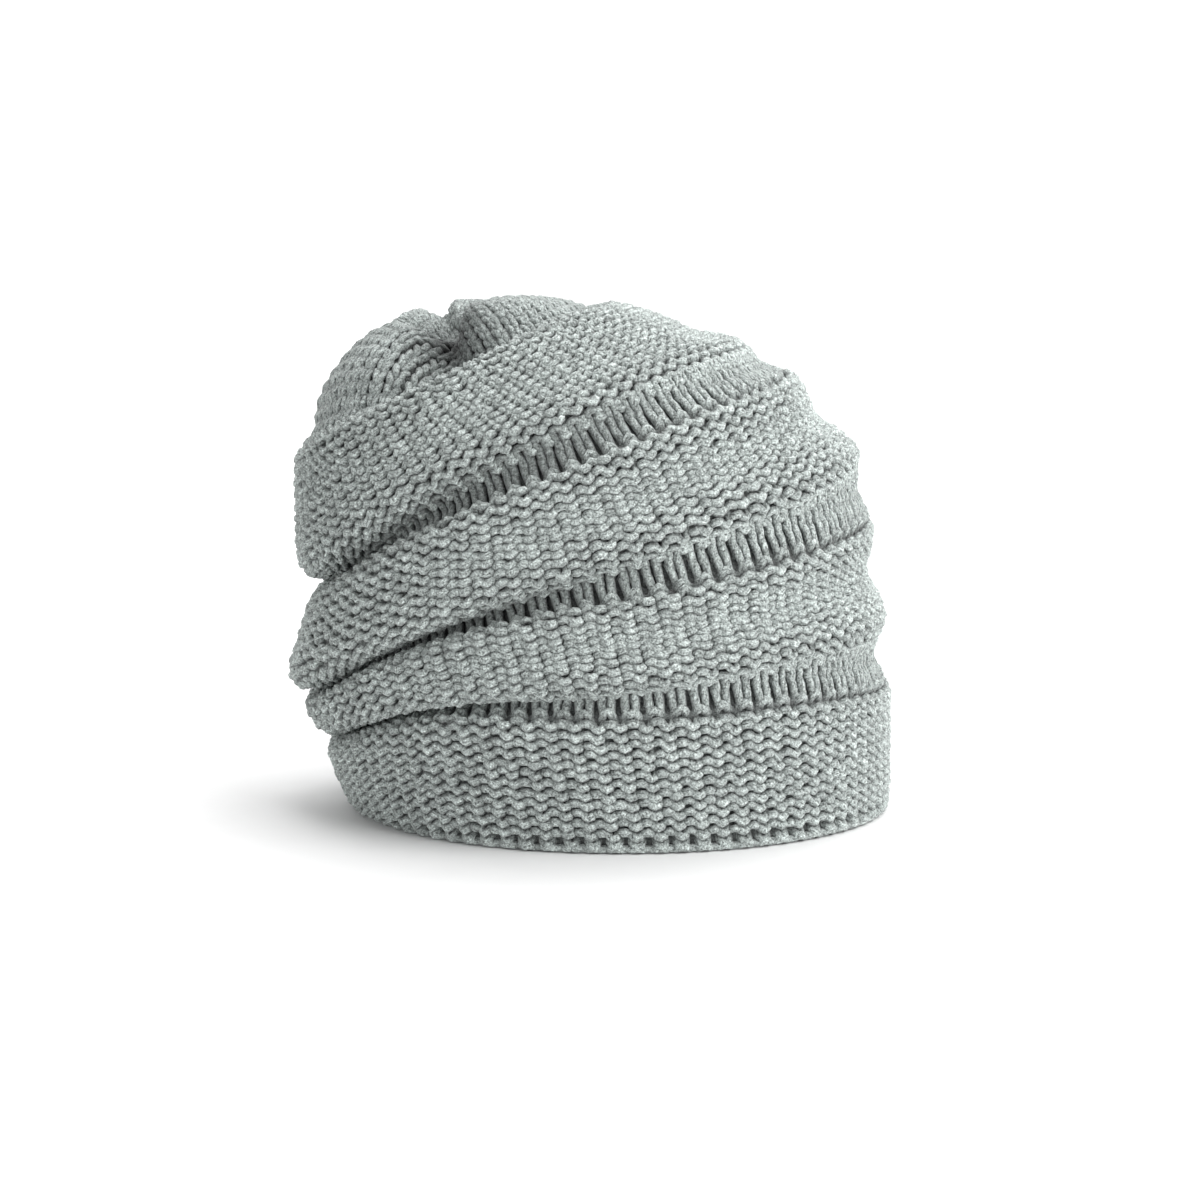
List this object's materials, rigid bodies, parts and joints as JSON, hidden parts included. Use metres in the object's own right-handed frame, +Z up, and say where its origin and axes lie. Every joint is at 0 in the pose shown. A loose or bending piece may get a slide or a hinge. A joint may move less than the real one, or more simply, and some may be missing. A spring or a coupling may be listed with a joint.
{
  "type": "slouchy beanie hat",
  "caption": "Chunky knitted slouch beanie, with a plain brim, rolled purl welts between recessed knit channels, and a gathered dome crown.",
  "frame": {"origin": "middle of the hat's length and width, on the plane that its hem rests on", "axes": "+Z up from the hem to the crown, +X to the front of the hat, where the welts stand open, +Y to its far side"},
  "size_m": [0.2229, 0.1848, 0.1917],
  "materials": {
    "knit_purl": "chunky wool-blend yarn in reverse stockinette, heathered light grey, matt",
    "knit_channel": "the same yarn in stockinette, matt",
    "knit_crown": "the same yarn in decreasing stockinette, matt"
  },
  "bodies": {
    "root": {"brim": "knit_purl", "channel_lower": "knit_channel", "welt_lower": "knit_purl", "channel_middle": "knit_channel", "welt_middle": "knit_purl", "channel_upper": "knit_channel", "welt_upper": "knit_purl", "crown": "knit_crown"}
  },
  "joints": []
}
